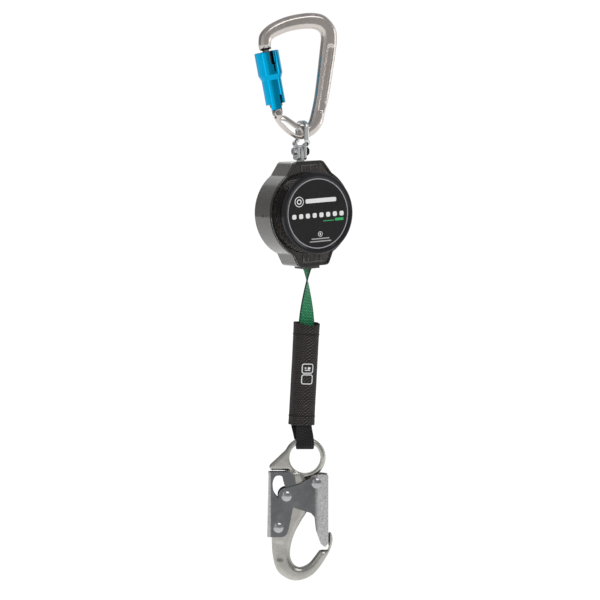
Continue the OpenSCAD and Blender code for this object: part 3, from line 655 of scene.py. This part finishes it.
def cover_section(n=72):
    """Points around the outside of the cover, a rectangle with very round corners."""
    out = []
    for k in range(n):
        a = 2 * math.pi * k / n
        c, s = math.cos(a), math.sin(a)
        out.append(((COVER_W / 2) * math.copysign(abs(c) ** (2 / COVER_POWER), c),
                    (COVER_D / 2) * math.copysign(abs(s) ** (2 / COVER_POWER), s)))
    return out


def cover_shape(x, y, z):
    """The cloth's waves: ends flare a little, the middle is drawn round the pack."""
    along = z / (COVER_L / 2)
    end = abs(along) ** 6
    slim = 0.955 + 0.045 * end
    wave = 0.16 * MM * math.sin(z * 95 + x * 210) + 0.12 * MM * math.sin(z * 210 - x * 150)
    reach = math.hypot(x, y)
    grow = slim + wave / reach
    return x * (0.975 + 0.025 * end), y * grow


def build_cover():
    """A sleeve of cloth with an outside, an inside and a dip at the front of its upper end."""
    section = cover_section()
    n, rows = len(section), 84
    outer, inner = [], []
    for i in range(rows + 1):
        s = i / rows
        ring_out, ring_in = [], []
        for x, y in section:
            dip = 3.4 * MM * math.exp(-((x / (COVER_W * 0.4)) ** 2)) if y < 0 else 0.0
            z = -COVER_L / 2 + s * (COVER_L - dip * s ** 3)
            px, py = cover_shape(x, y, z)
            shrink = 1 - COVER_T / math.hypot(px, py)
            ring_out.append(ABSORBER @ Vector((px, py, z)))
            ring_in.append(ABSORBER @ Vector((px * shrink, py * shrink, z)))
        outer.append(ring_out)
        inner.append(ring_in)
    rings = outer + inner[::-1]
    points, faces = rings_mesh(rings, loop=True)
    around = 2 * (COVER_W + COVER_D) * 0.93
    uvs = []
    for r in range(len(rings)):
        row = r if r <= rows else 2 * rows + 1 - r
        uvs += [(around * k / n, COVER_L * row / rows) for k in range(n)]
    cover = make_piece("absorber_sleeve", points, faces, "cover_fabric", "lifeline", uvs)
    rim = cover.modifiers.new("rounded rim", "SUBSURF")
    rim.levels = rim.render_levels = 1
    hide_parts("absorber_cover")


def cover_point(x, y, z, lift):
    """(point, outward) that far outside the cover, from a point of its section."""
    px, py = cover_shape(x, y, z)
    out = Vector((px / COVER_W ** 2, py / COVER_D ** 2, 0)).normalized()
    return ABSORBER @ (Vector((px, py, z)) + out * lift), ABSORBER.to_3x3() @ out


def build_cover_stitching():
    """Stitches round both hems and down the seam at one side."""
    n, side_at, side_steps, lift = 288, 8, 150, 0.1 * MM
    section = cover_section(n)
    hems = [[cover_point(*section[k % n], z, lift) for k in range(n + 1)]
            for z in (HEM_LOW, HEM_HIGH)]
    side = [cover_point(*section[side_at], HEM_LOW + i * (COVER_L - 21 * MM) / side_steps, lift)
            for i in range(side_steps + 1)]
    stitches("cover_stitching", hems + [side], "thread", "lifeline", pitch=3.0 * MM)


def cover_front(x, z):
    """Y of the front of the cover at that X and Z."""
    flat = -(COVER_D / 2) * (1 - abs(2 * x / COVER_W) ** COVER_POWER) ** (1 / COVER_POWER)
    return cover_shape(x, flat, z)[1]


def build_cover_mark():
    """A plain tag outline printed on the front of the cover."""
    lift, line, x = 0.25 * MM, 0.9 * MM, -1.2 * MM
    outer = rounded_rect(12.6 * MM, 9.8 * MM, 2.4 * MM)
    inner = rounded_rect(12.6 * MM - 2 * line, 9.8 * MM - 2 * line, 2.4 * MM - line)
    parts = [raised_loop(outer, inner, (x, z), ABSORBER, cover_front, lift)
             for z in (5.3 * MM, -5.3 * MM)]
    for dx, dz, w, h in ((-2.4, 5.8, 1.6, 1.6), (1.6, 5.6, 3.0, 2.2), (-0.2, 3.6, 6.0, 0.8)):
        parts.append(raised(rounded_rect(w * MM, h * MM, 0.35 * MM), (x + dx * MM, dz * MM),
                            ABSORBER, cover_front, lift))
    points, faces = merge(parts)
    make_piece("cover_print", points, faces, "white_print", "lifeline", smooth=False)


def build_pack():
    """Tear webbing folded to and fro inside the cover."""
    layers, pitch = 4, 2.3 * MM
    path = []
    for k in range(layers):
        y = (k - (layers - 1) / 2) * pitch
        ends = (-PACK_HALF + 2 * MM, PACK_HALF - 2 * MM)
        low, high = ends if k % 2 == 0 else ends[::-1]
        path += [Vector((0, y, low + (high - low) * s / 24)) for s in range(25)]
        if k < layers - 1:
            sign = 1 if high > low else -1
            path += [Vector((0, y + pitch / 2 - pitch / 2 * math.cos(a),
                             high + sign * pitch / 2 * math.sin(a)))
                     for a in (math.pi * j / 8 for j in range(1, 8))]
    path = [ABSORBER @ p for p in path]
    across = [Vector((1, 0, 0)) for _ in path]
    pack = ribbon("folded_pack", path, across, WEB_W, WEB_T, "black_webbing", "lifeline")
    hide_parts("absorber_pack")


build_cover()
build_cover_stitching()
build_cover_mark()
build_pack()


# ---------- webbing loop through the hook's eye ----------

def build_loop():
    """Down from the pack, under the bar of the eye and up again, turning with the hook."""
    loop_r, centre, flat_y, loop_t = 5.6 * MM, 14.8 * MM, 4.7 * MM, 2.0 * MM
    yaw = math.atan2(-JOINTS["hook_swing"]["axis"][0], JOINTS["hook_swing"]["axis"][1])

    def leg(side):
        top = ABSORBER @ Vector((0, side * flat_y, -44.2 * MM))
        exit_point = ABSORBER @ Vector((0, side * flat_y, -51 * MM))
        low = HOOK @ Vector((0, side * loop_r, centre))
        points = [(top.lerp(exit_point, k / 3), 0.0) for k in range(3)]
        for k in range(17):
            t = k / 16
            points.append((exit_point.lerp(low, t), t * t * (3 - 2 * t)))
        return points

    under = [(HOOK @ Vector((0, loop_r * math.cos(a), centre - loop_r * math.sin(a))), 1.0)
             for a in (math.radians(7.5 * k) for k in range(1, 24))]
    route = leg(1) + under + leg(-1)[::-1]
    path = [p for p, _ in route]
    across = [Vector((math.cos(yaw * share), math.sin(yaw * share), 0)) for _, share in route]
    loop = ribbon("hook_loop", path, across, WEB_W, loop_t, "black_webbing", "lifeline")
    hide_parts("web_loop")


build_loop()


# ---------- label ----------

def build_label_print():
    """Plain bars, squares and rings in place of the label's print."""
    lift = 0.1 * MM

    def film(_x, _z):
        return LABEL_Y

    def bar(w, h, x, z):
        return raised(rounded_rect(w * MM, h * MM, min(w, h) * 0.3 * MM), (x * MM, z * MM),
                      CASE, film, lift)

    def ring(r_out, r_in, x, z):
        turns = [2 * math.pi * k / 40 for k in range(40)]
        outer = [(r_out * MM * math.cos(a), r_out * MM * math.sin(a)) for a in turns]
        inner = [(r_in * MM * math.cos(a), r_in * MM * math.sin(a)) for a in turns]
        return raised_loop(outer, inner, (x * MM, z * MM), CASE, film, lift)

    white = [ring(5.0, 4.3, -20.4, 12.6), ring(2.6, 1.6, -20.4, 12.6), bar(34.5, 4.2, 4.0, 12.6)]
    white += [bar(4.6, 4.6, -26.6 + 7.6 * k, -1.6) for k in range(8)]
    white += [ring(2.5, 2.0, 1.5, -20.0), bar(1.2, 2.4, 1.5, -20.0)]
    grey = [bar(20, 1.1, 1.5, -24.4), bar(24, 1.1, 1.5, -27.0)]
    green = [bar(12.0, 0.8, 11.6, -7.6), bar(9.6, 2.6, 23.6, -7.0)]
    for name, parts, slot in (("label_print_white", white, "white_print"),
                              ("label_print_grey", grey, "grey_print"),
                              ("label_print_green", green, "green_print")):
        points, faces = merge(parts)
        make_piece(name, points, faces, slot, "housing", smooth=False)


build_label_print()


# ---------- moulded ribs of the casing's necks ----------

def build_ribs():
    """Raised moulding lines on the front of the upper and lower neck."""
    def face(_x, _z):
        return NECK_Y

    def rib(x, z, w, h):
        return raised(rounded_rect(w * MM, h * MM, min(w, h) * 0.4 * MM), (x * MM, z * MM),
                      HOUSING, face, 0.7 * MM)

    parts = [rib(-0.5, -13.2, 17, 0.9), rib(-8.6, -16.6, 0.9, 6.0), rib(8.4, -15.6, 0.9, 4.2),
             rib(1.0, -16.2, 0.8, 5.0), rib(0.5, -106.9, 21, 0.9), rib(-6.4, -103.2, 0.9, 6.6),
             rib(-11.2, -103.6, 1.5, 7.2), rib(2.6, -103.4, 0.8, 6.2), rib(8.2, -103.2, 0.8, 6.6)]
    points, faces = merge(parts)
    make_piece("casing_ribs", points, faces, "rib_plastic", "housing")


build_ribs()


# ---------- camera, light and floor ----------

def aim(thing, target):
    """Turn a camera or light to a point."""
    thing.rotation_euler = (target - thing.location).to_track_quat("-Z", "Y").to_euler()


def build_camera():
    """At the label's right and at the height of the shackle, looking a little down."""
    distance, height, azimuth = 2.5, -0.08, math.radians(30.4)
    aim_height, aim_left = -0.2636, 2.0 * MM
    data = bpy.data.cameras.new("camera")
    data.lens, data.sensor_width = 153.6, 36
    camera = bpy.data.objects.new("camera", data)
    bpy.context.scene.collection.objects.link(camera)
    toward = Vector((-math.sin(azimuth), -math.cos(azimuth), 0))
    camera.location = toward * distance + Vector((0, 0, height))
    right = Vector((-toward.y, toward.x, 0))
    aim(camera, Vector((0, 0, aim_height)) - right * aim_left)
    bpy.context.scene.camera = camera


def build_floor():
    """A pale floor under the hook at the end of its travel."""
    gap, side = 0.06, 12.0
    low = cad_box[0].z - JOINTS["lifeline_pull"]["range_m"][1] - gap
    mesh = bpy.data.meshes.new("floor")
    mesh.from_pydata([(-side, -side, low), (side, -side, low), (side, side, low),
                      (-side, side, low)], [], [(0, 1, 2, 3)])
    floor = bpy.data.objects.new("floor", mesh)
    bpy.context.scene.collection.objects.link(floor)
    s = Shader("pale_floor", (0.8, 0.8, 0.8), 0.0, 0.9, Specular_IOR_Level=0.1,
               Emission_Color=(1, 1, 1, 1), Emission_Strength=0.7)
    mesh.materials.append(s.mat)


def soft_light(name, place, target, size, power):
    """A white rectangle light of that size, at a place, aimed at a point."""
    data = bpy.data.lights.new(name, "AREA")
    data.shape, data.size, data.size_y = "RECTANGLE", size[0], size[1]
    data.energy = power
    lamp = bpy.data.objects.new(name, data)
    bpy.context.scene.collection.objects.link(lamp)
    lamp.location = place
    aim(lamp, Vector(target))


def build_world():
    """A plain studio, white to the camera and dimmer overhead, at the left and in front."""
    from_the_left = (0.863, -0.506, 0)
    overhead = (0.42, 0.43, 0.45, 1)
    white = (1, 1, 1, 1)
    world = bpy.data.worlds.new("studio")
    bpy.context.scene.world = world
    world.use_nodes = True
    tree = world.node_tree

    def add(kind, **values):
        made = tree.nodes.new("ShaderNode" + kind)
        for key, value in values.items():
            setattr(made, key, value)
        return made

    def rising(out, start, end, least):
        """From least to 1 as the value goes from start to end."""
        made = add("MapRange")
        for socket, value in (("From Min", start), ("From Max", end), ("To Min", least),
                              ("To Max", 1.0)):
            made.inputs[socket].default_value = value
        tree.links.new(out, made.inputs["Value"])
        return made.outputs["Result"]

    direction = add("TexCoord").outputs["Generated"]
    split = add("SeparateXYZ")
    tree.links.new(direction, split.inputs["Vector"])
    height = add("Math", operation="MULTIPLY_ADD")
    height.inputs[1].default_value = height.inputs[2].default_value = 0.5
    tree.links.new(split.outputs["Z"], height.inputs[0])
    up = add("ValToRGB")
    for element, position, colour in zip(up.color_ramp.elements, (0.5, 0.95), (white, overhead)):
        element.position, element.color = position, colour
    tree.links.new(height.outputs[0], up.inputs["Fac"])
    across = add("VectorMath", operation="DOT_PRODUCT")
    across.inputs[1].default_value = from_the_left
    tree.links.new(direction, across.inputs[0])
    dim = add("Math", operation="MULTIPLY")
    tree.links.new(rising(split.outputs["Y"], -1.0, 0.2, 0.4), dim.inputs[0])
    tree.links.new(rising(across.outputs["Value"], -0.85, -0.38, 0.3), dim.inputs[1])
    light = add("Mix", data_type="RGBA", blend_type="MULTIPLY")
    light.inputs[0].default_value = 1.0
    tree.links.new(up.outputs["Color"], light.inputs[6])
    tree.links.new(dim.outputs[0], light.inputs[7])
    seen = add("Mix", data_type="RGBA")
    seen.inputs[7].default_value = white
    tree.links.new(add("LightPath").outputs["Is Camera Ray"], seen.inputs[0])
    tree.links.new(light.outputs[2], seen.inputs[6])
    back = tree.nodes["Background"]
    tree.links.new(seen.outputs[2], back.inputs["Color"])
    back.inputs["Strength"].default_value = 1.0


build_camera()
build_floor()
build_world()
soft_light("key", (-0.1, -1.3, 1.0), (0, 0, -0.2), (1.2, 0.8), 6)
soft_light("side", (-1.4, -0.5, 0.1), (0, 0, -0.3), (0.2, 1.2), 0.6)
soft_light("fill", (1.2, -0.8, -0.1), (0, 0, -0.3), (0.3, 1.2), 1.5)
soft_light("rim", (0.3, 1.2, 0.5), (0, 0, -0.2), (1.2, 0.6), 1)
bpy.context.scene.view_settings.view_transform = "Standard"
bpy.context.scene.view_settings.exposure = 0.05
